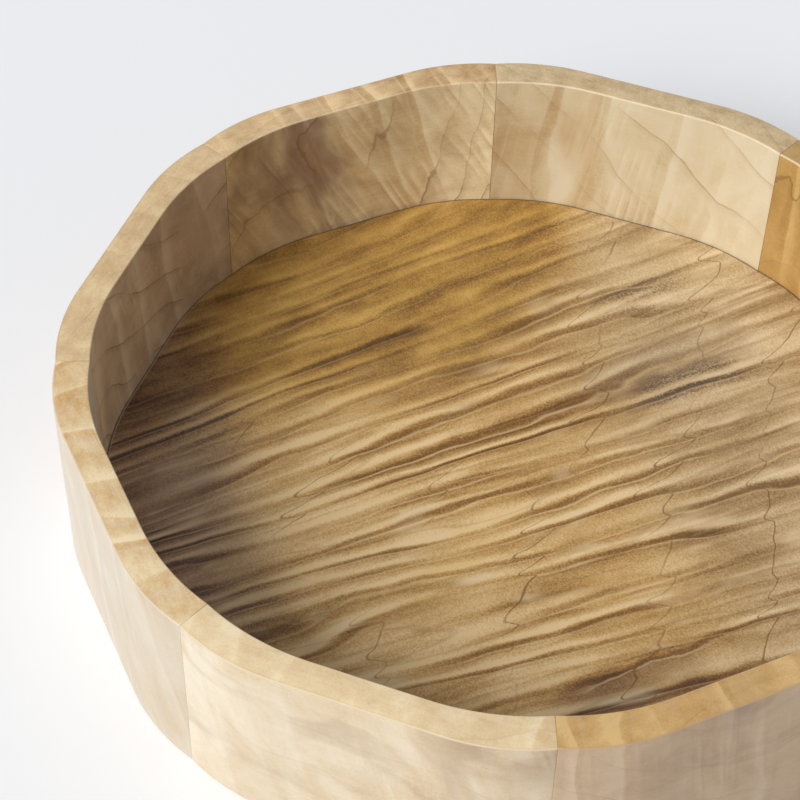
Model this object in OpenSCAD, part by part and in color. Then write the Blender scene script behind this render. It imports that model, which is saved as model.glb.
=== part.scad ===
// Open wooden lunch box. Eight staves are mitred into a ring, a hidden spline crosses each mitre,
// and a one-piece floor board sits by its tongue in a groove round the inside.
// Millimetres, +Z up. The origin is the centre of the base, in the plane the box stands on.

/* [Box] */
// Width across two opposite staves
box_width = 224; // [190:1:270]
// Height from the base to the rim
box_height = 53.2; // [40:0.2:80]
// Wall thickness at the middle of a stave
wall = 7.9; // [6:0.1:10]
// Chamfer on both edges of the rim
rim_ease = 0.8; // [0.2:0.1:1.5]
// Chamfer on the outer edge of the base
base_ease = 0.6; // [0.2:0.1:1.5]

/* [Stave outline] */
// Length of the flat on a stave's outer face
outer_flat = 39; // [24:0.5:56]
// Radius of the outer curve from that flat to the seam
outer_end_radius = 52; // [38:1:75]
// Length of the flat on a stave's inner face
inner_flat = 27.4; // [12:0.2:44]
// Radius of the inner curve from that flat to the seam
inner_end_radius = 62; // [46:1:90]

/* [Floor] */
// Height of the floor's upper face above the base
floor_level = 9.8; // [8:0.1:16]
// Thickness of the floor board
floor_thickness = 6.4; // [5:0.1:8]
// Thickness of the tongue round the board
tongue_thickness = 3; // [2:0.1:4]
// Depth of the groove in the staves
groove_depth = 3; // [2:0.1:4]
// Room at the tongue's tip for the board to swell
swell_room = 0.6; // [0.2:0.1:1.2]
// Headroom over the tongue in its groove
tongue_fit = 0.15; // [0.05:0.05:0.4]
// Gap between the board's shoulder and the wall
shoulder_gap = 0.3; // [0.1:0.05:0.6]

/* [Splines] */
// Thickness of a spline, across the wall
spline_thickness = 2; // [1.2:0.1:3]
// Width of a spline, across the joint
spline_width = 8; // [5:0.5:12]
// Wood left between a spline and the rim
rim_cover = 9; // [5:0.5:14]
// Wood left between the floor groove and a spline
groove_cover = 4; // [2:0.5:8]
// Clearance round a spline in its slots
spline_fit = 0.1; // [0.05:0.05:0.25]

/* [Hidden] */
$fn = 360;

stave_count = 8;
stave_turn = 360 / stave_count;
mitre_angle = stave_turn / 2;
// Stave 1 faces the front, along -Y, and the count runs to the right from there
front_angle = -90;
// How far cutting shapes run past the surfaces they cut
overrun = 1;

// Plan of a stave: each face is a flat and two end curves that leave it without a corner
outer_reach = box_width / 2;
inner_reach = outer_reach - wall;
outer_centre = [outer_reach - outer_end_radius, outer_flat / 2];
inner_centre = [inner_reach - inner_end_radius, inner_flat / 2];
// Sweep of an end curve, enough to run past the mitre
end_sweep = 75;
// Depth of the stock behind the outer face, and of the hollow that is cut from it
stock_depth = 2 * wall;
hollow_depth = 3 * wall;

// Floor tongue and its groove
tongue_low = floor_level - (floor_thickness + tongue_thickness) / 2;
tongue_reach = groove_depth - swell_room;
groove_high = tongue_low + tongue_thickness + tongue_fit;
// How far each eighth of the floor's plan runs past its mitres, so that they join up
floor_lap = 0.5;

// Distance from the box's axis to a curve, along a line at the given angle
function distance_to_curve(centre, radius, angle) =
    let (
        along = centre.x * cos(angle) + centre.y * sin(angle),
        across = centre.x * sin(angle) - centre.y * cos(angle)
    )
    along + sqrt(radius * radius - across * across);

// Splines stand midway between the two faces of the wall at the seam
outer_seam = distance_to_curve(outer_centre, outer_end_radius, mitre_angle);
inner_seam = distance_to_curve(inner_centre, inner_end_radius, mitre_angle);
spline_distance = (outer_seam + inner_seam) / 2;
spline_low = groove_high + groove_cover;
spline_height = box_height - rim_cover - spline_low;

// One tone for each stave, in the order of their numbers
stave_tones = ["wheat", "tan", "burlywood", "burlywood", "wheat", "tan", "tan", "wheat"];

// Turns a shape on the +X axis to the middle of the numbered stave
module at_stave(number) rotate(front_angle + (number - 1) * stave_turn) children();

// Turns a shape on the +X axis to the seam after the numbered stave
module at_seam(number) rotate(front_angle + (number - 0.5) * stave_turn) children();

// Repeats a shape on both halves of a stave
module both_ends() {
    children();
    mirror([0, 1, 0]) children();
}

// Plan of the eighth of the box between two mitres, widened past each by the given lap
module eighth_plan(lap) {
    back = lap / sin(mitre_angle);
    length = 2 * outer_reach;
    spread = (length + back) * tan(mitre_angle);
    polygon([[-back, 0], [length, -spread], [length, spread]]);
}

// Sweeps an upright section, drawn with the stave's face at x = 0, along that face
module along_face(reach, flat, end_radius) {
    translate([0, flat / 2, 0])
        rotate([90, 0, 0])
            linear_extrude(flat)
                translate([reach, 0])
                    children();
    both_ends()
        translate([reach - end_radius, flat / 2, 0])
            rotate_extrude(angle = end_sweep)
                translate([end_radius, 0])
                    children();
}

// Upright section of the stock behind the outer face
module stock_section()
    polygon([
        [-stock_depth, 0],
        [-base_ease, 0],
        [0, base_ease],
        [0, box_height - rim_ease],
        [-rim_ease, box_height],
        [-stock_depth, box_height],
    ]);

// Upright section of the hollow inside the inner face, with the groove for the floor's tongue
module hollow_section()
    polygon([
        [-hollow_depth, -overrun],
        [0, -overrun],
        [0, tongue_low],
        [groove_depth, tongue_low],
        [groove_depth, groove_high],
        [0, groove_high],
        [0, box_height - rim_ease],
        [rim_ease + overrun, box_height + overrun],
        [-hollow_depth, box_height + overrun],
    ]);

// A spline on the +X axis, or its slot when grown by a clearance
module spline_shape(clearance) {
    thickness = spline_thickness + 2 * clearance;
    width = spline_width + 2 * clearance;
    translate([spline_distance - thickness / 2, -width / 2, spline_low - clearance])
        cube([thickness, width, spline_height + 2 * clearance]);
}

module stave(number)
    color(stave_tones[number - 1])
        at_stave(number)
            difference() {
                intersection() {
                    along_face(outer_reach, outer_flat, outer_end_radius) stock_section();
                    translate([0, 0, -overrun])
                        linear_extrude(box_height + 2 * overrun)
                            eighth_plan(0);
                }
                along_face(inner_reach, inner_flat, inner_end_radius) hollow_section();
                both_ends()
                    rotate(mitre_angle)
                        spline_shape(spline_fit);
            }

module spline(number)
    color("peru")
        at_seam(number)
            spline_shape(0);

// Plan of the space inside one stave, grown past the inner face by the given amount
module inside_plan(growth)
    intersection() {
        eighth_plan(floor_lap);
        union() {
            translate([0, -inner_flat / 2])
                square([inner_reach + growth, inner_flat]);
            both_ends()
                intersection() {
                    translate(inner_centre) circle(inner_end_radius + growth);
                    translate([0, inner_flat / 2]) square(outer_reach);
                }
        }
    }

// Plan of the whole inside, grown past the inner faces by the given amount
module floor_plan(growth)
    for (number = [1:stave_count])
        at_stave(number)
            inside_plan(growth);

module floor_board()
    color("goldenrod") {
        translate([0, 0, floor_level - floor_thickness])
            linear_extrude(floor_thickness)
                floor_plan(-shoulder_gap);
        translate([0, 0, tongue_low])
            linear_extrude(tongue_thickness)
                floor_plan(tongue_reach);
    }

floor_board();
for (number = [1:stave_count]) {
    stave(number);
    spline(number);
}
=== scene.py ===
"""Open lobed wooden lunch box: curly-figured staves and floor board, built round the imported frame.

Shapes are in metres, in the part's frame. Wood figure is worked out in millimetres.
"""
import functools
import math
from types import SimpleNamespace

import bmesh
import bpy
from mathutils import Matrix, Vector


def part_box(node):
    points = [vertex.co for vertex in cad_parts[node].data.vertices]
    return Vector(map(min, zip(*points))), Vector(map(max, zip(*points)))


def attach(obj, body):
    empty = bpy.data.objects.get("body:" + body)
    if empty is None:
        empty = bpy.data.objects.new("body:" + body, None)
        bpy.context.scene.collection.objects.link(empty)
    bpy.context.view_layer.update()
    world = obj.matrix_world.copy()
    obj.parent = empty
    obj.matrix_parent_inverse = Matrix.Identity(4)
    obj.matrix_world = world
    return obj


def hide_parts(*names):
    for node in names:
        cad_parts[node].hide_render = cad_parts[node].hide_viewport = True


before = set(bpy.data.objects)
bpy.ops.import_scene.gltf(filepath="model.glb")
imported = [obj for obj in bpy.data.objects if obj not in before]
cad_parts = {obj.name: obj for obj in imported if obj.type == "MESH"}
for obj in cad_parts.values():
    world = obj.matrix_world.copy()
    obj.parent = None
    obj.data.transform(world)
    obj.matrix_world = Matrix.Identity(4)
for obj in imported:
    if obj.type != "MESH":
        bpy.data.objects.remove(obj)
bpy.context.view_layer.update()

# Sizes read from the frame
MM = 0.001
MM_IN_METRE = 1000.0
STAVES = 8
STAVE_TURN = math.tau / STAVES
MITRE = STAVE_TURN / 2
FRONT = -math.pi / 2
first_low, first_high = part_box("stave_1")
floor_low, floor_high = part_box("floor_board")
BOX_HEIGHT = first_high[2]
OUTER_REACH = -first_low[1]
FLOOR_LEVEL = floor_high[2]
FLOOR_THICKNESS = floor_high[2] - floor_low[2]

# Sizes that the frame's boxes don't give, as in the part's source
WALL = 7.9 * MM
OUTER_FLAT = 39 * MM
OUTER_END_RADIUS = 52 * MM
INNER_FLAT = 27.4 * MM
INNER_END_RADIUS = 62 * MM
TONGUE_THICKNESS = 3 * MM
TONGUE_FIT = 0.15 * MM
GROOVE_DEPTH = 3 * MM
SWELL_ROOM = 0.6 * MM
INNER_REACH = OUTER_REACH - WALL
TONGUE_LOW = FLOOR_LEVEL - (FLOOR_THICKNESS + TONGUE_THICKNESS) / 2

# Hand-eased edges
RIM_ROUND = 0.4 * MM
BASE_ROUND = 0.6 * MM
FOOT_ROUND = 0.3 * MM
SEAM_ROUND = 0.10 * MM
FLOOR_ROUND = 0.25 * MM
FLOOR_ARRIS = 0.5 * MM
# Glue closes most of the gap round the floor board's shoulder
FLOOR_GAP = 0.15 * MM

# Fineness of the meshes
FLOOR_POINTS_A_STAVE = 48
ROUNDING_POINTS = 6
BAR_STATIONS = 109
# Share of a bar's stations that its even part takes, up to the eased end
EVEN_SHARE = 0.925
SHARP_ANGLE = math.radians(50)

# Camera, fitted to the rim, seam and floor lines of the photograph
CAMERA_AZIMUTH = math.radians(19.84)
CAMERA_ELEVATION = math.radians(47.33)
CAMERA_ROLL = math.radians(1.39)
CAMERA_TARGET = Vector((-22.8, -24.7, 53.2)) * MM
CAMERA_DISTANCE = 529.8 * MM
CAMERA_LENS = 98.6
CAMERA_SENSOR = 36
CAMERA_NEAR = 10 * MM

# Studio: a white table, an even sky, and one large window at the front left
TABLE_TONE = (245, 246, 248)
TABLE_ROUGHNESS = 0.9
TABLE_SPECULAR = 0.1
TABLE_HALF = 4.0
SKY_COLOR = (0.95, 0.97, 1.01, 1.0)
SKY_STRENGTH = 0.34
WINDOW_AZIMUTH = math.radians(239)
WINDOW_ELEVATION = math.radians(40)
WINDOW_DISTANCE = 14.0
WINDOW_WIDTH = 9.2
WINDOW_HEIGHT = 7.2
WINDOW_POWER = 1950


def linear(level):
    """One 0 to 255 screen level as a linear value."""
    share = level / 255
    return share / 12.92 if share <= 0.04045 else ((share + 0.055) / 1.055) ** 2.4


def tone(red, green, blue):
    """A screen colour, 0 to 255, as the linear colour that a shader takes."""
    return (linear(red), linear(green), linear(blue), 1.0)


# Node trees from formulas

class Wire:
    """One output in a node tree. Formulas can add, subtract, multiply and divide it."""

    def __init__(self, graph, socket):
        self.graph = graph
        self.socket = socket

    def __add__(self, other):
        return self.graph.math("ADD", self, other)

    def __radd__(self, other):
        return self.graph.math("ADD", other, self)

    def __sub__(self, other):
        return self.graph.math("SUBTRACT", self, other)

    def __rsub__(self, other):
        return self.graph.math("SUBTRACT", other, self)

    def __mul__(self, other):
        return self.graph.math("MULTIPLY", self, other)

    def __rmul__(self, other):
        return self.graph.math("MULTIPLY", other, self)

    def __truediv__(self, other):
        return self.graph.math("DIVIDE", self, other)


class Graph:
    """Fills a node tree from formulas. A value is a number, a tuple or a Wire."""

    def __init__(self, tree):
        self.tree = tree

    def feed(self, socket, value):
        if isinstance(value, Wire):
            self.tree.links.new(value.socket, socket)
        else:
            socket.default_value = value

    def add(self, kind, feeds=None, output=0, **settings):
        node = self.tree.nodes.new(kind)
        for name, value in settings.items():
            setattr(node, name, value)
        for key, value in (feeds or {}).items():
            self.feed(node.inputs[key], value)
        return Wire(self, node.outputs[output])

    def math(self, operation, *values):
        return self.add("ShaderNodeMath", dict(enumerate(values)), operation=operation)

    def absolute(self, value):
        return self.math("ABSOLUTE", value)

    def largest(self, first, second):
        return self.math("MAXIMUM", first, second)

    def smallest(self, first, second):
        return self.math("MINIMUM", first, second)

    def vector(self, x, y, z):
        return self.add("ShaderNodeCombineXYZ", {0: x, 1: y, 2: z})

    def parts(self, vector):
        first = self.add("ShaderNodeSeparateXYZ", {0: vector})
        outputs = first.socket.node.outputs
        return [Wire(self, socket) for socket in outputs]

    def noise(self, x, y, z, detail=1.0, roughness=0.5):
        """Noise of about -1 to 1 on the given coordinates."""
        feeds = {"Vector": self.vector(x, y, z), "Scale": 1.0, "Detail": detail, "Roughness": roughness}
        return (self.add("ShaderNodeTexNoise", feeds) - 0.5) * 2.6

    def step(self, value, low, high):
        """Rises smoothly from 0 at low to 1 at high. With low above high it falls instead."""
        feeds = {0: value, 1: min(low, high), 2: max(low, high)}
        feeds[3] = 0.0 if low < high else 1.0
        feeds[4] = 1.0 if low < high else 0.0
        return self.add("ShaderNodeMapRange", feeds, interpolation_type="SMOOTHSTEP")

    def between(self, value, start, full, fading, gone):
        """Rises smoothly from 0 at start to 1 at full, and falls back from fading to gone."""
        return self.step(value, start, full) * self.step(value, gone, fading)

    def curve(self, value, points):
        """A smooth curve through the given points, for a value of 0 to 1."""
        wire = self.add("ShaderNodeFloatCurve", {"Value": value})
        mapping = wire.socket.node.mapping
        handles = mapping.curves[0].points
        handles[0].location = points[0]
        handles[1].location = points[-1]
        for point in points[1:-1]:
            handles.new(*point)
        mapping.update()
        return wire

    def ramp(self, value, stops):
        """Colours along a value of 0 to 1."""
        wire = self.add("ShaderNodeValToRGB", {0: value})
        elements = wire.socket.node.color_ramp.elements
        elements[0].position, elements[0].color = stops[0]
        elements[1].position, elements[1].color = stops[-1]
        for position, color in stops[1:-1]:
            elements.new(position).color = color
        return wire

    def mix(self, share, first, second):
        """Blends two colours."""
        wire = self.add("ShaderNodeMix", data_type="RGBA")
        inputs = wire.socket.node.inputs
        self.feed(inputs[0], share)
        self.feed(inputs[6], first)
        self.feed(inputs[7], second)
        return Wire(self, wire.socket.node.outputs[2])


# Camera

def aim_camera():
    sine, cosine = math.sin(CAMERA_AZIMUTH), math.cos(CAMERA_AZIMUTH)
    level = math.cos(CAMERA_ELEVATION)
    back = Vector((sine * level, -cosine * level, math.sin(CAMERA_ELEVATION)))
    right = Vector((cosine, sine, 0))
    up = back.cross(right)
    rolled_right = right * math.cos(CAMERA_ROLL) + up * math.sin(CAMERA_ROLL)
    rolled_up = up * math.cos(CAMERA_ROLL) - right * math.sin(CAMERA_ROLL)
    camera = bpy.data.objects.new("camera", bpy.data.cameras.new("camera"))
    camera.data.lens = CAMERA_LENS
    camera.data.sensor_width = CAMERA_SENSOR
    camera.data.clip_start = CAMERA_NEAR
    turn = Matrix((rolled_right, rolled_up, back)).transposed().to_4x4()
    camera.matrix_world = Matrix.Translation(CAMERA_TARGET + back * CAMERA_DISTANCE) @ turn
    bpy.context.collection.objects.link(camera)
    bpy.context.scene.camera = camera


# Wood figure
# A number that multiplies a length inside a noise counts waves per millimetre, and what is added to
# a seed keeps one noise apart from the next.

WOOD_SPECULAR = 0.35

# Folds are the ripples that cross the grain of a curly board. Past a thin pale crest each one starts
# brown, clears slowly to a pale shoulder, and drops into its dark side just before the next crest.
# Growth lines are thin and brown, and every fold drags them sideways. These are curves over one fold.
FOLD_SHADE = [
    (0, 0.66), (0.06, 0.68), (0.18, 0.56), (0.36, 0.36), (0.48, 0.14), (0.58, 0.0),
    (0.64, 0.04), (0.74, 0.46), (0.84, 0.78), (0.92, 0.84), (1, 0.76),
]
FLAME_SHADE = [
    (0, 0.60), (0.2, 0.54), (0.42, 0.34), (0.58, 0.06), (0.67, 0.0),
    (0.71, 0.22), (0.75, 0.56), (0.84, 0.66), (1, 0.62),
]
FOLD_CREST = [(0, 1.0), (0.03, 0.75), (0.07, 0.18), (0.12, 0.0), (0.92, 0.0), (0.965, 0.45), (1, 1.0)]
FOLD_DRAG = [(0, 0.0), (0.22, 0.18), (0.48, 0.68), (0.68, 1.0), (0.85, 0.62), (1, 0.0)]
# The shade is counted from this middle tone
FOLD_MIDDLE = 0.42

# Width of the soft band beside a growth line, in millimetres
GROWTH_BAND = 3.0


def new_material(name):
    """An empty material with a Principled shader, and the graph to fill it by."""
    material = bpy.data.materials.new(name)
    material.use_nodes = True
    graph = Graph(material.node_tree)
    return material, graph, material.node_tree.nodes["Principled BSDF"]


def finish_wood(graph, shader, color, roughness, height, depth):
    """Feeds a wood shader: colour, roughness, and a bump of the given depth in metres."""
    graph.feed(shader.inputs["Base Color"], color)
    graph.feed(shader.inputs["Roughness"], roughness)
    shader.inputs["Specular IOR Level"].default_value = WOOD_SPECULAR
    bump = graph.add("ShaderNodeBump", {"Strength": 1.0, "Distance": depth, "Height": height})
    graph.feed(shader.inputs["Normal"], bump)


def millimetres(graph):
    """Place on a piece: its x, y and z in millimetres."""
    place = graph.add("ShaderNodeTexCoord", output="Object")
    return [part * MM_IN_METRE for part in graph.parts(place)]


def folds(graph, across, along, depth, fuzz, spacing, sway, seed, profile=FOLD_SHADE):
    """One set of folds: shade round 0, crest of 0 to 1, and the drag on the growth lines."""
    slow = graph.noise(along * 0.007, across * 0.050, depth * 0.02 + seed)
    middle = graph.noise(along * 0.021, across * 0.060, depth * 0.03 + (seed + 11.3))
    quick = graph.noise(along * 0.080, across * 0.20, depth * 0.05 + (seed + 23.7))
    warped = across + slow * (sway * 3.0) + middle * sway + quick * (sway * 0.28)
    phase = warped / spacing
    count = graph.math("FLOOR", phase)
    share = graph.math("FRACT", phase)

    # Each fold has its own strength, and its own lean to one side
    weight = graph.noise(count * 3.71, along * 0.020, depth * 0.02 + (seed + 41.9))
    strength = graph.step(weight, -0.70, 0.70)
    lopsided = graph.noise(count * 5.13, along * 0.012, depth * 0.02 + (seed + 57.1))
    shaped = graph.math("POWER", share, lopsided * 0.45 + 1.0)
    return SimpleNamespace(
        shade=(graph.curve(shaped + fuzz * 0.016, profile) - FOLD_MIDDLE) * strength,
        crest=graph.curve(share, FOLD_CREST) * graph.step(weight, -0.40, 0.45),
        drag=graph.curve(share, FOLD_DRAG) * strength,
    )


def growth_lines(graph, ring, spacing, width, fade, band=0.0):
    """Thin lines at even steps of the ring distance, fading in places, with a soft band on one side."""
    distance = (graph.math("FRACT", ring / spacing) - 0.5) * spacing
    line = graph.step(graph.absolute(distance) / width, 1.0, 0.25)
    if band:
        soft = graph.between(distance, -GROWTH_BAND, 0.0, 0.0, width)
        line = graph.largest(line, soft * band)
    return line * graph.step(fade, -0.5, 0.4)


def fibres(graph, grain, across, depth, seed):
    """Fine fibre streaks along the grain, and the grainy sparkle of cut pores."""
    streak = graph.noise(grain * 0.25, across * 2.6, depth * 2.6 + seed, detail=2.0)
    turned = (grain * 0.8 + across * 0.6) * 2.1
    crossed = (across * 0.8 - grain * 0.6) * 2.1
    speck = graph.noise(turned, crossed, depth * 2.1 + (seed + 5.0), detail=3.0, roughness=0.8)
    return streak, speck


# Floor board

# Folds run this way across the floor, seen from above
FLOOR_FOLD_TURN = math.radians(44)
FOLD_COSINE = math.cos(FLOOR_FOLD_TURN)
FOLD_SINE = math.sin(FLOOR_FOLD_TURN)
# The folds fan out: they turn by this share for each millimetre across
FLOOR_FAN = -0.0012
FLOOR_SEED = 3.0
FLOOR_BUMP = 0.05 * MM

# Three sets of folds, in millimetres
WIDE_FOLDS = dict(spacing=7.3, sway=2.9, seed=FLOOR_SEED)
FINE_FOLDS = dict(spacing=4.1, sway=2.0, seed=FLOOR_SEED + 60)
BROAD_FOLDS = dict(spacing=13.5, sway=4.5, seed=FLOOR_SEED + 120)

# Growth lines of the floor, in millimetres
FLOOR_RING_SPACING = 27.0
FLOOR_LINE_WIDTH = 0.40

# Tones from the palest wood to the darkest, at these steps of darkness
FLOOR_STEPS = (0.0, 0.35, 0.70, 1.0)
FLOOR_TAN = [(232, 201, 150), (197, 158, 100), (138, 96, 47), (92, 60, 29)]
FLOOR_GOLD = [(213, 174, 100), (182, 141, 73), (128, 92, 46), (82, 56, 32)]
FLOOR_BEIGE = [(226, 204, 165), (190, 163, 121), (139, 108, 69), (94, 72, 51)]
# The last tones are greyer wood, painted where the left walls shade the floor: painted shade
FLOOR_SHADE_TINT = [(210, 182, 148), (174, 142, 111), (119, 90, 76), (68, 51, 47)]
FLOOR_CREST = tone(238, 208, 154)
FLOOR_CREAM = tone(233, 210, 170)
# Pale tone of the painted highlight on the floor's eased edge
FLOOR_EDGE_GLINT = tone(196, 180, 160)
FLOOR_LINE = tone(116, 80, 44)
FLOOR_SMOKE = tone(104, 88, 84)
# Tone of the blotches, and of the painted shade in the joint at the back
FLOOR_BLOTCH_AND_JOINT_SHADE = tone(80, 66, 62)
# Darkness of wood that no figure touches
FLOOR_MIDDLE = 0.36

# Regions of the floor. Each fades in between two distances in millimetres, counted by shares of x and
# y: x share, y share, how far the edge wanders, where it starts and where it is full
FLOOR_REGIONS = {
    "gold_left": (1.0, 0.0, 14.0, 2.0, -30.0),
    "gold_back": (-0.65, 1.0, 10.0, 18.0, 62.0),
    "beige": (1.0, 0.8, 12.0, 15.0, 80.0),
    "calm": (0.35, 1.0, 0.0, 55.0, 90.0),
    "front": (-0.2, 1.0, 0.0, -15.0, -60.0),
    "left": (1.0, 0.0, 0.0, -40.0, -75.0),
    # The next four regions paint light and shade near the left walls: a band of painted light in from them,
    # then greyer and darker painted shade close beside them
    "light_band_start": (-0.87, -0.5, 8.0, 12.0, 45.0),
    "light_band_end": (-0.87, -0.5, 8.0, 82.0, 60.0),
    "shade_tint": (-0.87, -0.5, 8.0, 58.0, 86.0),
    "shade_by_left_wall": (-0.87, -0.5, 8.0, 84.0, 102.0),
    # Painted highlight along the eased edge at the left
    "glint_left": (1.0, 0.0, 0.0, -70.0, -90.0),
    "glint_front": (0.0, 1.0, 0.0, 40.0, 15.0),
    # Painted shade in the joint at the back, along the eased edge
    "joint_shade_back": (0.0, 1.0, 0.0, 30.0, 60.0),
}

# A dark shelf in the figure near the front right wall, placed by its distance across the folds. Its
# brink is a dark line where it starts, and its lip a thin pale one
SHELF_START = 66.8
SHELF_FULL = 69.2
SHELF_FADING = 71.0
SHELF_FAINT = 84.0
BRINK_MIDDLE = 68.0
LIP_MIDDLE = 69.2

# Soft tone patches: centre x, y, half length along the folds, half width across, darkening. Those that hug
# the left walls stand partly for dark figure and partly for painted shade where those walls shade the floor
FLOOR_PATCHES = [
    (-98, -6, 30, 12, 0.16),
    (-94, 32, 20, 6, 0.13),
    (-50, -46, 26, 13, -0.10),
    (-72, -56, 10, 22, 0.11),
    (-60, -36, 18, 7, -0.06),
    (-67, 15, 34, 4, 0.22),
    (-52, 15, 18, 4, 0.08),
    (-44, 46, 30, 12, -0.07),
    (-30, 38, 34, 8, 0.13),
    (-80, 39, 20, 12, 0.17),
    (30, 48, 18, 8, 0.08),
    (34, 90, 22, 10, -0.13),
    (40, 68, 14, 7, -0.08),
    (-4, 15, 28, 8, 0.13),
    (58, 38, 16, 9, 0.13),
    (40, 32, 22, 12, 0.05),
    (-7, -20, 16, 8, -0.15),
    (14, -16, 32, 14, -0.06),
    (50, 2, 16, 9, 0.14),
    (58, -25, 20, 12, 0.12),
    (26, -56, 16, 9, -0.18),
    (12, -58, 24, 10, -0.20),
    (-12, -55, 16, 2.2, 0.18),
    (9, -61, 17, 2.2, 0.09),
    (13, -31, 16, 7, -0.13),
    (62, -9, 18, 6, 0.16),
    (-37, -29, 24, 8, -0.08),
    (-22, 27, 30, 5, 0.14),
    (-13, 95, 16, 7, -0.20),
    (-24, 76, 16, 6, -0.12),
    (4, 66, 14, 7, 0.06),
]
# Smoky patches, in the same order, with a strength at the end
FLOOR_SMOKE_PATCHES = [
    (26, 52, 26, 10, 0.25),
]
# Blotches, likewise, that darken only the dark sides of the folds
FLOOR_BLOTCHES = [
    (36, 49, 20, 7, 0.85),
    (12, 76, 16, 6, 0.70),
    (-40, -58, 34, 12, 0.30),
    (-86, -20, 24, 8, 0.60),
]


def along_folds(x, y):
    """Distances along the floor's folds and across them."""
    return x * FOLD_COSINE + y * FOLD_SINE, x * FOLD_SINE - y * FOLD_COSINE


class FloorFigure:
    """The floor board's figure: the places, regions and folds that its tones are made from."""

    def __init__(self, graph):
        self.graph = graph
        self.x, self.y, self.z = millimetres(graph)
        self.along, self.straight_across = along_folds(self.x, self.y)
        self.across = self.straight_across + self.straight_across * self.along * FLOOR_FAN
        self.streak, self.speck = fibres(graph, self.across, self.along, self.z, FLOOR_SEED)
        self.wander = self.even_noise(0.02, 70, detail=2.0)
        self.region = {name: self.fade_in(*limits) for name, limits in FLOOR_REGIONS.items()}
        self.gold = self.region["gold_left"] * self.region["gold_back"]
        self.shade, self.crest, self.drag = self.mixed_folds()
        self.ribbon = self.drawn_noise(0.022, 0.14, 30, detail=2.0)
        self.blur = self.ribbon * 0.6 + self.speck * 0.3

    def even_noise(self, rate, offset, detail=1.0):
        """Noise that is alike in all directions."""
        return self.graph.noise(self.x * rate, self.y * rate, self.z + (FLOOR_SEED + offset), detail)

    def drawn_noise(self, along_rate, across_rate, offset, detail=1.0, roughness=0.5):
        """Noise drawn out along the folds."""
        along, across = self.along * along_rate, self.across * across_rate
        return self.graph.noise(along, across, self.z + (FLOOR_SEED + offset), detail, roughness)

    def fade_in(self, x_share, y_share, wander, start, full):
        """A region of the floor, from 0 outside it to 1 inside."""
        distance = self.x * x_share + self.y * y_share + self.wander * wander
        return self.graph.step(distance, start, full)

    def patch(self, centre_x, centre_y, half_length, half_width, strength):
        """A soft oval along the folds, with its edge broken up by the blur."""
        down, over = along_folds(self.x - centre_x, self.y - centre_y)
        down = down / half_length
        over = over / half_width
        return self.graph.step(down * down + over * over + self.blur, 1.5, 0.0) * strength

    def strongest(self, patches):
        """The strongest of several patches at each place."""
        return functools.reduce(self.graph.largest, [self.patch(*patch) for patch in patches])

    def mixed_folds(self):
        """Shade, crest and drag of the wide, fine and broad folds together."""
        rough = self.streak * 0.5 + self.speck * 0.5
        wide, fine, broad = [
            folds(self.graph, self.across, self.along, self.z, rough, **kind)
            for kind in (WIDE_FOLDS, FINE_FOLDS, BROAD_FOLDS)
        ]
        calm, front, left = [self.region[name] for name in ("calm", "front", "left")]
        lively = (0.88 - calm * 0.30 + left * 0.12) * (1.0 - self.gold * 0.50) * (front * 0.22 + 1.0)
        fine_share = self.graph.step(self.drawn_noise(0.012, 0.02, 90), -0.8, 0.3) * (0.45 - front * 0.2)
        shade = (wide.shade + fine.shade * fine_share) * lively + broad.shade * front * 0.60
        crest = self.graph.largest(wide.crest, fine.crest * fine_share) * lively
        crest = crest * (1.0 - self.gold * 0.35) * (1.0 - front * 0.4)
        return shade, crest, wide.drag


def floor_shelf(figure):
    """The dark shelf near the front right wall, its brink and its lip, each of 0 to 1."""
    graph, along = figure.graph, figure.along
    ledge = figure.straight_across + figure.drawn_noise(0.05, 0.12, 83, detail=3.0) * 3.2
    shelf = graph.step(ledge, SHELF_START, SHELF_FULL)
    shelf = shelf * (1.0 - graph.step(ledge, SHELF_FADING, SHELF_FAINT) * 0.6)
    brink = graph.step(graph.absolute(ledge - BRINK_MIDDLE), 1.5, 0.2)
    lip = graph.step(graph.absolute(ledge - LIP_MIDDLE), 0.5, 0.1)
    shelf = shelf * graph.between(along, -28.0, -12.0, 10.0, 25.0)
    brink = brink * graph.between(along, -20.0, -6.0, 30.0, 56.0)
    lip = lip * graph.between(along, -20.0, -8.0, 14.0, 26.0)
    return shelf, brink, lip


def floor_darkness(figure, shelf, brink):
    """How dark the floor's wood is, from about 0 to 1."""
    region = figure.region
    cloud = figure.drawn_noise(0.030, 0.050, 35, detail=3.0)
    blotch = figure.drawn_noise(0.035, 0.075, 39, detail=4.0, roughness=0.6)
    dark = figure.shade * 1.08 + figure.ribbon * 0.18 + cloud * 0.28
    dark = dark + figure.streak * 0.03 + figure.speck * 0.40
    dark = dark + figure.gold * (blotch * 0.46 + 0.08) + FLOOR_MIDDLE
    dark = dark + brink * 0.22 + shelf * 0.22
    # Painted light in a band in from the left walls, and painted shade right beside them
    dark = dark - region["light_band_start"] * region["light_band_end"] * 0.13
    dark = dark + region["shade_by_left_wall"] * 0.10
    for patch in FLOOR_PATCHES:
        dark = dark + figure.patch(*patch)
    return dark


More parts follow.
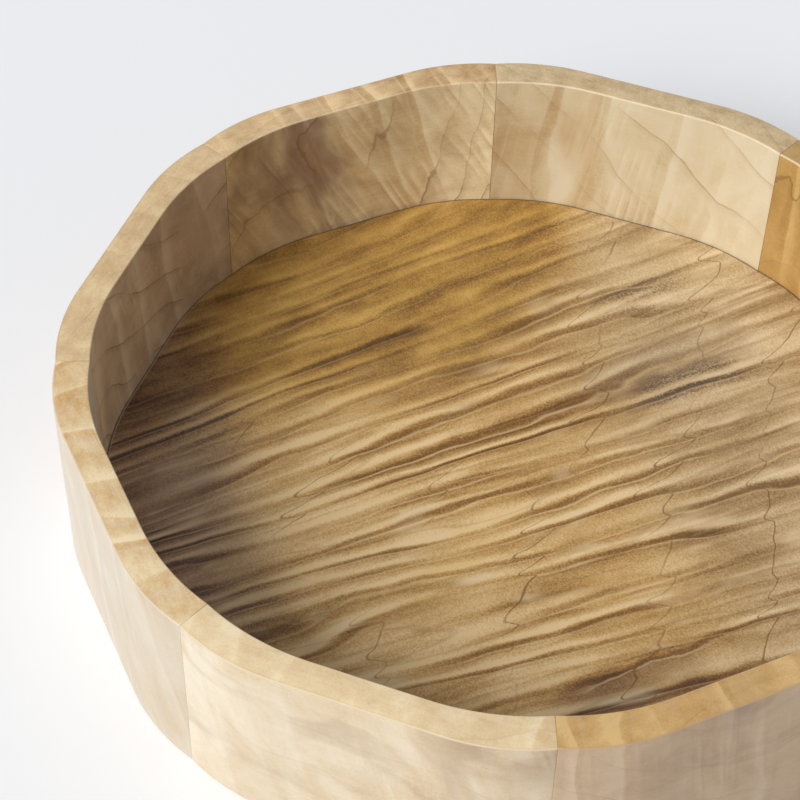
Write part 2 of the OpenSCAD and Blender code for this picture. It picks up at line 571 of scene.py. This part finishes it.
def floor_color(figure, dark, shelf, lip):
    """Colour of the floor's wood, without its growth lines."""
    graph, gold = figure.graph, figure.gold
    beige, shade_tint, front = [figure.region[name] for name in ("beige", "shade_tint", "front")]

    def shades(colors):
        return graph.ramp(dark, [(step, tone(*color)) for step, color in zip(FLOOR_STEPS, colors)])

    color = graph.mix(beige, shades(FLOOR_TAN), shades(FLOOR_BEIGE))
    # Greyer tones where the left walls shade the floor: painted shade
    color = graph.mix(shade_tint, color, shades(FLOOR_SHADE_TINT))
    warm = graph.step(figure.drawn_noise(0.030, 0.060, 43, detail=2.0), 0.1, 0.8)
    warm = warm * (1.0 - beige) * (1.0 - shade_tint) * 0.5
    warm = graph.largest(gold * (1.0 - shade_tint * 0.6), warm)
    color = graph.mix(warm, color, shades(FLOOR_GOLD))
    cream = figure.drawn_noise(0.045, 0.150, 47, detail=2.0) + figure.speck * 0.15
    cream = graph.step(cream - figure.shade * 0.5, 0.15, 0.80) * (1.0 - gold)
    color = graph.mix(cream * (front * 0.15 + 0.62), color, FLOOR_CREAM)

    smoke = figure.strongest(FLOOR_SMOKE_PATCHES) * graph.step(dark, -0.9, 0.5)
    blotches = figure.strongest(FLOOR_BLOTCHES) * graph.step(dark, 0.35, 0.62)
    color = graph.mix(graph.largest(smoke, shelf * 0.30), color, FLOOR_SMOKE)
    color = graph.mix(blotches, color, FLOOR_BLOTCH_AND_JOINT_SHADE)
    return graph.mix(graph.largest(figure.crest * 0.64, lip * 0.35), color, FLOOR_CREST)


def floor_lines(figure):
    """Growth lines across the floor, and faint threads along its folds."""
    graph, x, y = figure.graph, figure.x, figure.y
    drift = figure.even_noise(0.012, 50)
    wobble = figure.even_noise(0.16, 55)
    ring = x * 0.985 + y * 0.17 + drift * 17.0 + wobble * 0.6 + figure.drag * 10.0
    fade = figure.even_noise(0.03, 58) + x * 0.007
    line = growth_lines(graph, ring, FLOOR_RING_SPACING, FLOOR_LINE_WIDTH, fade)
    thread = figure.drawn_noise(0.012, 0.09, 95)
    thread = graph.step(graph.absolute(thread), 0.05, 0.01) * (0.25 - figure.gold * 0.2)
    return graph.largest(line, thread)


def floor_wood():
    """Strongly curled board, golden at the back left and grey-beige to the right."""
    material, graph, shader = new_material("floor_curl")
    figure = FloorFigure(graph)
    region = figure.region
    shelf, brink, lip = floor_shelf(figure)
    dark = floor_darkness(figure, shelf, brink)
    color = floor_color(figure, dark, shelf, lip)
    line = floor_lines(figure)
    color = graph.mix(line * 0.70, color, FLOOR_LINE)

    # The eased edge gets a painted highlight at the left, and painted shade at the back where it meets the
    # walls
    eased_edge = graph.add("ShaderNodeAttribute", output="Fac", attribute_name="eased_edge")
    edge_glint = eased_edge * region["glint_left"] * region["glint_front"]
    color = graph.mix(edge_glint * 0.8, color, FLOOR_EDGE_GLINT)
    color = graph.mix(eased_edge * region["joint_shade_back"] * 0.85, color, FLOOR_BLOTCH_AND_JOINT_SHADE)

    roughness = 0.46 + figure.streak * 0.05 + figure.shade * 0.06
    height = figure.crest * 0.3 - figure.shade * 0.2 + figure.streak * 0.2 + figure.speck * 0.3 - line * 0.3
    finish_wood(graph, shader, color, roughness, height, FLOOR_BUMP)
    return material


def lobe_distance(turn, reach, flat, end_radius):
    """Distance from the axis to a lobed outline, at the given turn from the middle of a stave."""
    angle = abs(turn)
    if math.tan(angle) * reach <= flat / 2:
        return reach / math.cos(angle)
    centre_x, centre_y = reach - end_radius, flat / 2
    along = centre_x * math.cos(angle) + centre_y * math.sin(angle)
    across = centre_x * math.sin(angle) - centre_y * math.cos(angle)
    return along + math.sqrt(end_radius**2 - across**2)


def add_piece(name, mesh, material):
    """Makes an object of a finished mesh and links it into the scene."""
    mesh.materials.clear()
    mesh.materials.append(material)
    piece = bpy.data.objects.new(name, mesh)
    bpy.context.collection.objects.link(piece)
    return piece


def make_floor_board():
    """The floor board: a lobed plate with eased shoulders and a tongue all round."""
    tongue = GROOVE_DEPTH - SWELL_ROOM
    ease = FLOOR_ROUND
    gap = FLOOR_GAP
    bottom = FLOOR_LEVEL - FLOOR_THICKNESS
    corner = ease * (1 - math.sqrt(0.5))
    # Rings from the underside to the upper face: growth past the staves' inner face, and level
    rings = [
        (-gap - ease, bottom),
        (-gap - corner, bottom + corner),
        (-gap, bottom + ease),
        (-gap, TONGUE_LOW),
        (tongue, TONGUE_LOW),
        (tongue, TONGUE_LOW + TONGUE_THICKNESS),
        (-gap, TONGUE_LOW + TONGUE_THICKNESS),
        (-gap, FLOOR_LEVEL - ease),
        (-gap - corner, FLOOR_LEVEL - corner),
        (-gap - ease, FLOOR_LEVEL),
        (-gap - ease - FLOOR_ARRIS, FLOOR_LEVEL),
    ]
    work = bmesh.new()
    eased_edge = work.verts.layers.float.new("eased_edge")
    rows = []
    for growth, level in rings:
        row = []
        for index in range(STAVES * FLOOR_POINTS_A_STAVE):
            turn = index / FLOOR_POINTS_A_STAVE * STAVE_TURN
            local = (turn + MITRE) % STAVE_TURN - MITRE
            reach = lobe_distance(local, INNER_REACH + growth, INNER_FLAT, INNER_END_RADIUS + growth)
            row.append(work.verts.new((reach * math.cos(turn), reach * math.sin(turn), level)))
        rows.append(row)
    for lower, upper in zip(rows, rows[1:]):
        for index in range(len(lower)):
            after = (index + 1) % len(lower)
            work.faces.new((lower[index], lower[after], upper[after], upper[index]))
    for point in rows[-2]:
        point[eased_edge] = 1.0
    work.faces.new(rows[-1])
    work.faces.new(rows[0][::-1])
    mesh = bpy.data.meshes.new("floor_board_shape")
    work.to_mesh(mesh)
    work.free()
    mesh.shade_smooth()
    mesh.set_sharp_from_angle(angle=SHARP_ANGLE)
    board = add_piece("floor_board_figured", mesh, floor_wood())
    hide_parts("floor_board")
    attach(board, "root")


# Staves

# How a stave's wood looks, and what each word sets:
# face, rim: tones of its faces and of its rim, from pale to dark wood
# curl, spacing, lean: strength of its folds, their spacing, and how far they lean off upright
# crest, ripple, marble: strength of the folds' pale crests, of fine ripples and of cloudy marbling
# fall: how much darker it gets towards one end
# stain, stained: tone and strength of its brown stain
# tilt, core: how the stain gathers towards one end, and in the middle
# vein: strength of its smoky veins, in the tone of the stain
# line, lines: tone and strength of its growth lines
# rings, rise, slope, wobble: the growth lines' spacing, how they run, and how unsteadily
# rim_curl, rim_fall: curl and fall of its rim
# edge: strength of the painted highlight on the inner edge of its rim
# seed: keeps its noises apart from the other staves'
PLAIN_LOOK = dict(
    curl=0.50, spacing=12.0, crest=0.2, ripple=0.3, marble=0.36, fall=0.0, stained=0.40, tilt=0.0, core=0.0,
    vein=0.1, rings=18.0, rise=1.0, slope=0.4, wobble=0.6, rim_fall=0.0, edge=0.15,
)
STAVE_LOOKS = {
    1: PLAIN_LOOK | dict(
        face=[(226, 214, 191), (211, 190, 157), (164, 135, 103)], rim=[(251, 231, 191), (219, 184, 133)],
        stain=(160, 132, 108), line=(156, 126, 96), curl=0.30, spacing=13.0, lean=0.20, marble=0.5,
        fall=0.18, stained=0.45, tilt=0.18, vein=0.32, lines=0.18, rings=19.0, rim_curl=0.9,
        rim_fall=0.06, seed=1.4),
    2: PLAIN_LOOK | dict(
        face=[(202, 178, 148), (184, 156, 124), (137, 109, 86)], rim=[(223, 186, 127), (183, 139, 78)],
        stain=(134, 108, 98), line=(122, 96, 76), curl=0.55, spacing=10.0, lean=0.08, marble=0.42,
        stained=0.60, vein=0.14, lines=0.22, rings=17.0, slope=0.3, rim_curl=1.3, seed=12.1),
    3: PLAIN_LOOK | dict(
        face=[(219, 200, 166), (197, 171, 129), (150, 119, 85)], rim=[(222, 192, 142), (180, 142, 92)],
        stain=(150, 120, 96), line=(132, 98, 62), lean=0.10, ripple=0.35, vein=0.15, lines=0.45,
        rise=0.8, slope=-0.4, wobble=0.8, rim_curl=0.5, edge=0.3, seed=22.8),
    4: PLAIN_LOOK | dict(
        face=[(212, 177, 116), (185, 145, 82), (141, 100, 50)], rim=[(210, 176, 120), (170, 132, 80)],
        stain=(176, 140, 84), line=(124, 86, 44), curl=0.60, lean=-0.10, ripple=0.35, lines=0.55,
        rings=13.0, rise=0.4, slope=0.8, wobble=1.0, rim_curl=0.5, edge=0.4, seed=34.0),
    5: PLAIN_LOOK | dict(
        face=[(227, 213, 183), (215, 196, 158), (166, 125, 70)], rim=[(231, 206, 164), (158, 127, 86)],
        stain=(188, 147, 86), line=(160, 110, 52), curl=1.10, spacing=14.0, lean=0.10, crest=0.5,
        ripple=0.45, marble=0.52, fall=0.08, stained=0.55, tilt=0.26, vein=0.0, lines=0.48, rings=19.0,
        slope=-0.75, wobble=0.8, rim_curl=0.2, rim_fall=-0.04, edge=0.4, seed=45.2),
    6: PLAIN_LOOK | dict(
        face=[(247, 230, 189), (214, 184, 135), (148, 115, 84)], rim=[(241, 210, 161), (178, 137, 91)],
        stain=(128, 95, 78), line=(134, 94, 56), curl=0.45, spacing=11.0, lean=-0.35, crest=0.15,
        ripple=0.5, fall=0.14, stained=0.80, tilt=0.06, core=0.32, vein=0.14, lines=0.65, rings=8.0,
        rise=0.15, slope=0.5, wobble=1.1, rim_curl=1.3, rim_fall=-0.18, edge=0.2, seed=53.5),
    7: PLAIN_LOOK | dict(
        face=[(229, 208, 178), (199, 172, 142), (134, 109, 91)], rim=[(240, 212, 166), (188, 154, 110)],
        stain=(112, 90, 82), line=(92, 68, 50), curl=0.85, spacing=17.0, lean=-0.15, crest=0.15,
        marble=0.46, fall=-0.17, stained=0.55, tilt=-0.18, vein=0.12, lines=0.60, rings=15.0,
        slope=-0.45, wobble=0.8, rim_curl=0.8, edge=0.05, seed=67.7),
    8: PLAIN_LOOK | dict(
        face=[(217, 209, 196), (208, 195, 174), (184, 160, 126)], rim=[(247, 226, 184), (204, 157, 93)],
        stain=(200, 170, 130), line=(170, 142, 110), lean=0.25, crest=0.3, fall=0.14, tilt=0.14,
        lines=0.15, rim_curl=1.35, rim_fall=-0.11, edge=0.1, seed=78.3),
}

RIM_EDGE_HIGHLIGHT = tone(250, 238, 210)
SEAM_GLUE = tone(92, 66, 44)
STAVE_BUMP = 0.04 * MM
# Lengths in the figure, in millimetres
RIM_LEVEL = BOX_HEIGHT / MM
FLAME_SWAY = 3.6
RIPPLE_SPACING = 3.6
RIPPLE_SWAY = 1.8
CLOUD_SWAY = 12.0
STAVE_LINE_WIDTH = 0.32
# From a stave's middle, fall and tilt have their full effect this far along it
FALL_REACH = 40.0
TILT_REACH = 30.0
# Darkness of wood that no figure touches, on the faces and on the rim
FACE_MIDDLE = 0.30
RIM_MIDDLE = 0.40


def stave_angle(number):
    """Turn of a stave's middle from +X. The first faces the front, and the count runs to the right."""
    return FRONT + (number - 1) * STAVE_TURN


class StaveFigure:
    """One stave's figure: the places, folds and clouds that its tones are made from."""

    def __init__(self, graph, number):
        self.graph = graph
        self.look = look = SimpleNamespace(**STAVE_LOOKS[number])
        # Place on the stave, in millimetres: outwards, along it from its middle, and up
        place = graph.add("ShaderNodeTexCoord", output="Object")
        feeds = {"Vector": place, "Rotation": (0.0, 0.0, -stave_angle(number)), "Scale": (MM_IN_METRE,) * 3}
        self.out, self.run, self.up = graph.parts(graph.add("ShaderNodeMapping", feeds))
        self.streak, self.speck = fibres(graph, self.run, self.up, self.out, look.seed)

        leaned = self.run + self.up * look.lean
        further = leaned + self.up * (look.lean * 0.5)
        self.flames = folds(
            graph, leaned, self.up, self.out, self.streak, look.spacing, FLAME_SWAY, look.seed, FLAME_SHADE)
        self.ripples = folds(
            graph, further, self.up, self.out, self.streak, RIPPLE_SPACING, RIPPLE_SWAY, look.seed + 60)
        self.patchy = self.noise(0.035, 0.045, 0.03, 66)
        self.rippled = graph.step(self.patchy, -0.10, 0.50)

        # Places that sway to and fro, for cloudy figure
        self.sway_run = self.noise(0.035, 0.035, 0.03, 71) * CLOUD_SWAY
        self.sway_up = self.noise(0.035, 0.035, 0.03, 76) * CLOUD_SWAY
        self.cloud_run = leaned + self.sway_run
        self.cloud_up = self.up + self.sway_up
        marble_depth = self.out * 0.04 + (look.seed + 30)
        self.marble = graph.noise(
            self.cloud_run * 0.070, self.cloud_up * 0.035, marble_depth, detail=5.0, roughness=0.6)
        self.grain = self.noise(0.035, 0.9, 0.9, 36, detail=3.0, roughness=0.65)

    def noise(self, run_rate, up_rate, out_rate, offset, detail=1.0, roughness=0.5):
        """Noise on the stave's own places."""
        depth = self.out * out_rate + (self.look.seed + offset)
        return self.graph.noise(self.run * run_rate, self.up * up_rate, depth, detail, roughness)


def stave_stain(figure):
    """Strength of the stave's brown stain."""
    graph, look, run = figure.graph, figure.look, figure.run
    depth = figure.out * 0.03 + (look.seed + 81)
    stain = graph.noise(figure.cloud_run * 0.050, figure.cloud_up * 0.022, depth, detail=4.0)
    core = graph.step(graph.absolute(run - 6.0), 32.0, 8.0) * graph.step(figure.up, 12.0, 36.0) * look.core
    return graph.step(stain + run * (look.tilt / TILT_REACH) + core, 0.05, 0.75) * look.stained


def stave_lines(figure):
    """Growth lines of a stave."""
    look = figure.look
    drift = figure.noise(0.020, 0.020, 0.02, 50)
    wobble = figure.noise(0.14, 0.14, 0.1, 55, detail=3.0)
    ring = figure.up * look.rise + figure.run * look.slope + figure.out * 1.3
    ring = ring + drift * 13.0 + wobble * look.wobble + figure.flames.drag * 1.2
    fade = figure.noise(0.04, 0.04, 0.04, 58)
    return growth_lines(figure.graph, ring, look.rings, STAVE_LINE_WIDTH, fade, band=0.35)


def face_color(figure, stained, line):
    """Colour of a stave's faces."""
    graph, look, patchy = figure.graph, figure.look, figure.patchy
    flames, ripples, rippled = figure.flames, figure.ripples, figure.rippled
    pale, middle, deep = [tone(*color) for color in look.face]
    stain = tone(*look.stain)
    dark = flames.shade * look.curl + ripples.shade * rippled * look.ripple + figure.marble * look.marble
    dark = dark + figure.streak * 0.03 + figure.speck * 0.20 + figure.grain * 0.08
    dark = dark + figure.run * (look.fall / FALL_REACH) + FACE_MIDDLE
    color = graph.ramp(dark, [(0.0, pale), (0.42, middle), (1.0, deep)])
    color = graph.mix(stained, color, stain)

    vein_run = (figure.run + figure.sway_up) * 0.022
    vein_up = (figure.up + figure.sway_run * 0.7) * 0.050
    vein = graph.noise(vein_run, vein_up, figure.out * 0.03 + (look.seed + 86), detail=3.0)
    vein = graph.step(graph.absolute(vein), 0.20, 0.0) * graph.step(patchy, -0.6, 0.2) * look.vein
    color = graph.mix(vein, color, stain)
    color = graph.mix(graph.largest(flames.crest, ripples.crest * rippled) * look.crest, color, pale)
    fleck = figure.noise(0.30, 0.07, 0.1, 91) + patchy * 0.4
    color = graph.mix(graph.step(fleck, 0.75, 1.05) * 0.5, color, deep)
    return graph.mix(line * look.lines, color, tone(*look.line))


def rim_color(figure, stained, line):
    """Colour of a stave's rim, warmer than its faces."""
    graph, look = figure.graph, figure.look
    pale, deep = [tone(*color) for color in look.rim]
    mottle_depth = figure.up * 0.1 + (look.seed + 97)
    mottle = graph.noise(figure.run * 0.22, figure.out * 0.30, mottle_depth, detail=4.0, roughness=0.6)
    dark = figure.flames.shade * look.rim_curl + figure.grain * 0.12 + figure.marble * 0.24
    dark = dark + mottle * 0.42 + figure.speck * 0.38 + line * 0.3
    dark = dark + figure.run * (look.rim_fall / FALL_REACH) + RIM_MIDDLE
    color = graph.ramp(dark, [(0.0, pale), (1.0, deep)])
    color = graph.mix(figure.flames.crest * look.rim_curl * 0.25, color, tone(*look.face[0]))
    return graph.mix(stained * 0.25, color, tone(*look.stain))


def edged_color(figure, color):
    """Adds a painted highlight on the rim's inner edge, painted shade on its outer rounding, and the glue
    line at the seams.
    """
    graph, look = figure.graph, figure.look
    inward = graph.add("ShaderNodeAttribute", output="Fac", attribute_name="inward")
    near_rim = graph.step(figure.up, RIM_LEVEL - 0.6, RIM_LEVEL - 0.3)
    inner_edge_highlight = graph.step(inward, 0.94, 0.97) * near_rim
    outer_edge_shade = graph.step(inward, 0.07, 0.03) * near_rim
    color = graph.mix(inner_edge_highlight * look.edge, color, RIM_EDGE_HIGHLIGHT)
    # Painted shade mutes the outer rounding, which takes the full window light
    color = graph.mix(outer_edge_shade * 0.7, color, tone(*look.face[1]))
    gap = figure.out * math.sin(MITRE) - graph.absolute(figure.run) * math.cos(MITRE)
    seam = graph.step(gap, 0.18, 0.04)
    return graph.mix(seam * (inward * 0.36 + 0.04), color, SEAM_GLUE)


def stave_wood(number):
    """Pale curled wood for one stave, warmer on its rim, with a thin glue line at its seams."""
    material, graph, shader = new_material(f"stave_curl_{number}")
    figure = StaveFigure(graph, number)
    stained = stave_stain(figure)
    line = stave_lines(figure)
    on_rim = graph.step(figure.up, RIM_LEVEL - 0.45, RIM_LEVEL - 0.15)
    color = graph.mix(on_rim, face_color(figure, stained, line), rim_color(figure, stained, line))
    color = edged_color(figure, color)
    roughness = 0.48 + figure.streak * 0.05 + figure.flames.shade * 0.05
    height = figure.streak * 0.1 + figure.speck * 0.3 + figure.flames.crest * 0.2 - line * 0.3
    finish_wood(graph, shader, color, roughness, height, STAVE_BUMP)
    return material


def stave_section(graph, size):
    """Upright section of a stave: depth from the outer face, height above the base, rounded corners."""
    groove_back = size["Wall"] - size["Groove Depth"]
    corners = [
        (0.0, 0.0, size["Base Round"]),
        (0.0, size["Height"], size["Rim Round"]),
        (size["Wall"], size["Height"], size["Rim Round"]),
        (size["Wall"], size["Groove High"], 0.0),
        (groove_back, size["Groove High"], 0.0),
        (groove_back, size["Groove Low"], 0.0),
        (size["Wall"], size["Groove Low"], 0.0),
        (size["Wall"], 0.0, size["Foot Round"]),
    ]
    index = graph.add("GeometryNodeInputIndex")
    places = graph.add("GeometryNodeIndexSwitch", data_type="VECTOR")
    rounds = graph.add("GeometryNodeIndexSwitch", data_type="FLOAT")
    for switch in (places, rounds):
        items = switch.socket.node.index_switch_items
        while len(items) < len(corners):
            items.new()
        graph.feed(switch.socket.node.inputs["Index"], index)
    for slot, (depth, height, radius) in enumerate(corners):
        graph.feed(places.socket.node.inputs[slot + 1], graph.vector(depth, height, 0.0))
        graph.feed(rounds.socket.node.inputs[slot + 1], radius)
    line = graph.add("GeometryNodeMeshLine", {"Count": len(corners)})
    section = graph.add("GeometryNodeMeshToCurve", {0: line})
    section = graph.add("GeometryNodeSetSplineCyclic", {"Geometry": section, "Cyclic": True})
    section = graph.add("GeometryNodeSetPosition", {"Geometry": section, "Position": places})
    feeds = {"Curve": section, "Count": ROUNDING_POINTS, "Radius": rounds, "Limit Radius": True}
    return graph.add("GeometryNodeFilletCurve", feeds, mode="POLY")


def straight_bar(graph, section):
    """The section drawn out into a bar along Z, from -1 to 1."""
    spine = graph.add("GeometryNodeCurvePrimitiveLine", {"Start": (0, 0, -1), "End": (0, 0, 1)})
    spine = graph.add("GeometryNodeResampleCurve", {"Curve": spine, "Count": BAR_STATIONS})
    feeds = {"Curve": spine, "Profile Curve": section, "Fill Caps": True}
    return graph.add("GeometryNodeCurveToMesh", feeds)


def bent_bar(graph, size, bar):
    """The bar bent to the stave's plan, with eased ends. Each point is marked by how far in it lies."""
    depth, height, station = graph.parts(graph.add("GeometryNodeInputPosition"))
    side = graph.math("SIGN", station)
    reach = graph.absolute(station)

    # The last few stations make the eased end, and the rest share the length evenly
    end = graph.largest(reach - EVEN_SHARE, 0.0) / (1.0 - EVEN_SHARE)
    margin = size["Seam Round"] / size["Outer Half Length"]
    even = graph.smallest(reach / EVEN_SHARE, 1.0)
    share = side * (even * (1.0 - margin) + end * margin)
    tuck = size["Seam Round"] * (1.0 - graph.math("SQRT", 1.0 - end * end))
    fit_depth = 1.0 - 2.0 * tuck / size["Wall"]
    fit_height = 1.0 - 2.0 * tuck / size["Height"]
    inward = (depth / size["Wall"] - 0.5) * fit_depth + 0.5
    level = (height - size["Height"] * 0.5) * fit_height + size["Height"] * 0.5

    def face(reach_out, flat, end_radius, half_length):
        """Where a face lies: its distance from the axis, and the length along it."""
        run = share * half_length
        past = graph.largest(graph.absolute(run) - flat * 0.5, 0.0) / end_radius
        drop = end_radius * (1.0 - graph.math("SQRT", 1.0 - past * past))
        return reach_out - drop, run

    outer_out, outer_run = face(
        size["Outer Reach"], size["Outer Flat"], size["Outer End Radius"], size["Outer Half Length"])
    inner_out, inner_run = face(
        size["Outer Reach"] - size["Wall"], size["Inner Flat"], size["Inner End Radius"],
        size["Inner Half Length"])
    out = outer_out + (inner_out - outer_out) * inward
    run = outer_run + (inner_run - outer_run) * inward
    feeds = {"Geometry": bar, "Name": "inward", "Value": inward}
    marked = graph.add("GeometryNodeStoreNamedAttribute", feeds, data_type="FLOAT", domain="POINT")
    feeds = {"Geometry": marked, "Position": graph.vector(out, run, level)}
    return graph.add("GeometryNodeSetPosition", feeds)


def stave_tree():
    """Geometry nodes for one stave: a straight moulded bar, bent to the stave's plan and turned."""
    tree = bpy.data.node_groups.new("stave_shape", "GeometryNodeTree")
    sizes = [
        "Height", "Outer Reach", "Wall", "Outer Flat", "Outer End Radius", "Inner Flat", "Inner End Radius",
        "Outer Half Length", "Inner Half Length", "Groove Low", "Groove High", "Groove Depth",
        "Rim Round", "Base Round", "Foot Round", "Seam Round", "Turn",
    ]
    for name in sizes:
        tree.interface.new_socket(name, in_out="INPUT", socket_type="NodeSocketFloat")
    tree.interface.new_socket("Wood", in_out="INPUT", socket_type="NodeSocketMaterial")
    tree.interface.new_socket("Stave", in_out="OUTPUT", socket_type="NodeSocketGeometry")
    graph = Graph(tree)
    entry = tree.nodes.new("NodeGroupInput")
    size = {socket.name: Wire(graph, socket) for socket in entry.outputs if socket.name}

    bar = straight_bar(graph, stave_section(graph, size))
    feeds = {"Geometry": bent_bar(graph, size, bar), "Rotation": graph.vector(0, 0, size["Turn"])}
    turned = graph.add("GeometryNodeTransform", feeds)
    smooth = graph.add("GeometryNodeSetShadeSmooth", {"Geometry": turned})
    real = graph.add("GeometryNodeRealizeInstances", {"Geometry": smooth})
    done = graph.add("GeometryNodeSetMaterial", {"Geometry": real, "Material": size["Wood"]})
    leave = tree.nodes.new("NodeGroupOutput")
    graph.feed(leave.inputs[0], done)
    return tree


def grow(tree, name, values):
    """Runs a geometry tree with the given inputs and returns the mesh that it makes."""
    holder = bpy.data.objects.new(name, bpy.data.meshes.new(name))
    bpy.context.collection.objects.link(holder)
    modifier = holder.modifiers.new("shape", "NODES")
    modifier.node_group = tree
    for item in tree.interface.items_tree:
        if item.in_out == "INPUT" and item.name in values:
            modifier[item.identifier] = values[item.name]
    bpy.context.view_layer.update()
    evaluated = holder.evaluated_get(bpy.context.evaluated_depsgraph_get())
    mesh = bpy.data.meshes.new_from_object(evaluated)
    bpy.data.objects.remove(holder)
    return mesh


def make_staves():
    """The eight staves, each its own piece with its own board of wood."""
    tree = stave_tree()
    outer_seam = lobe_distance(MITRE, OUTER_REACH, OUTER_FLAT, OUTER_END_RADIUS)
    inner_seam = lobe_distance(MITRE, INNER_REACH, INNER_FLAT, INNER_END_RADIUS)
    values = {
        "Height": BOX_HEIGHT,
        "Outer Reach": OUTER_REACH,
        "Wall": WALL,
        "Outer Flat": OUTER_FLAT,
        "Outer End Radius": OUTER_END_RADIUS,
        "Inner Flat": INNER_FLAT,
        "Inner End Radius": INNER_END_RADIUS,
        "Outer Half Length": outer_seam * math.sin(MITRE),
        "Inner Half Length": inner_seam * math.sin(MITRE),
        "Groove Low": TONGUE_LOW,
        "Groove High": TONGUE_LOW + TONGUE_THICKNESS + TONGUE_FIT,
        "Groove Depth": GROOVE_DEPTH,
        "Rim Round": RIM_ROUND,
        "Base Round": BASE_ROUND,
        "Foot Round": FOOT_ROUND,
        "Seam Round": SEAM_ROUND,
    }
    for number in range(1, STAVES + 1):
        wood = stave_wood(number)
        values["Turn"] = stave_angle(number)
        values["Wood"] = wood
        mesh = grow(tree, f"stave_{number}_shape", values)
        mesh.set_sharp_from_angle(angle=SHARP_ANGLE)
        stave = add_piece(f"stave_{number}_figured", mesh, wood)
        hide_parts(f"stave_{number}")
        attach(stave, "root")


# Splines

SPLINE_PALE = tone(188, 150, 104)
SPLINE_DEEP = tone(140, 102, 66)
SPLINE_SEED = 7.0
SPLINE_BUMP = 0.04 * MM


def spline_wood():
    """Plain straight-grained wood for the hidden splines."""
    material, graph, shader = new_material("spline_straight")
    x, y, z = millimetres(graph)
    streak, speck = fibres(graph, x, y, z, SPLINE_SEED)
    color = graph.ramp(0.5 + streak * 0.3 + speck * 0.1, [(0.0, SPLINE_PALE), (1.0, SPLINE_DEEP)])
    finish_wood(graph, shader, color, 0.6 + streak * 0.05, streak, SPLINE_BUMP)
    return material


def dress_splines():
    wood = spline_wood()
    for number in range(1, STAVES + 1):
        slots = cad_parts[f"spline_{number}"].material_slots
        for slot in slots:
            slot.material = wood


# Table and light

def make_table():
    material, _, shader = new_material("table_white")
    shader.inputs["Base Color"].default_value = tone(*TABLE_TONE)
    shader.inputs["Roughness"].default_value = TABLE_ROUGHNESS
    shader.inputs["Specular IOR Level"].default_value = TABLE_SPECULAR
    mesh = bpy.data.meshes.new("table_top")
    half = TABLE_HALF
    corners = [(-half, -half, 0), (half, -half, 0), (half, half, 0), (-half, half, 0)]
    mesh.from_pydata(corners, [], [(0, 1, 2, 3)])
    add_piece("table", mesh, material)


def add_window():
    """A soft rectangular lamp that looks at the box."""
    lamp = bpy.data.lights.new("left_window", "AREA")
    lamp.shape = "RECTANGLE"
    lamp.size, lamp.size_y = WINDOW_WIDTH, WINDOW_HEIGHT
    lamp.energy = WINDOW_POWER
    level = math.cos(WINDOW_ELEVATION)
    sideways = (math.cos(WINDOW_AZIMUTH) * level, math.sin(WINDOW_AZIMUTH) * level)
    toward = Vector((*sideways, math.sin(WINDOW_ELEVATION)))
    window = bpy.data.objects.new("left_window", lamp)
    window.location = toward * WINDOW_DISTANCE
    window.rotation_euler = toward.to_track_quat("Z", "Y").to_euler()
    bpy.context.collection.objects.link(window)


def light_studio():
    world = bpy.data.worlds.new("studio")
    world.use_nodes = True
    sky = world.node_tree.nodes["Background"]
    sky.inputs["Color"].default_value = SKY_COLOR
    sky.inputs["Strength"].default_value = SKY_STRENGTH
    bpy.context.scene.world = world
    add_window()
    bpy.context.scene.view_settings.view_transform = "Standard"


aim_camera()
make_floor_board()
make_staves()
dress_splines()
make_table()
light_studio()
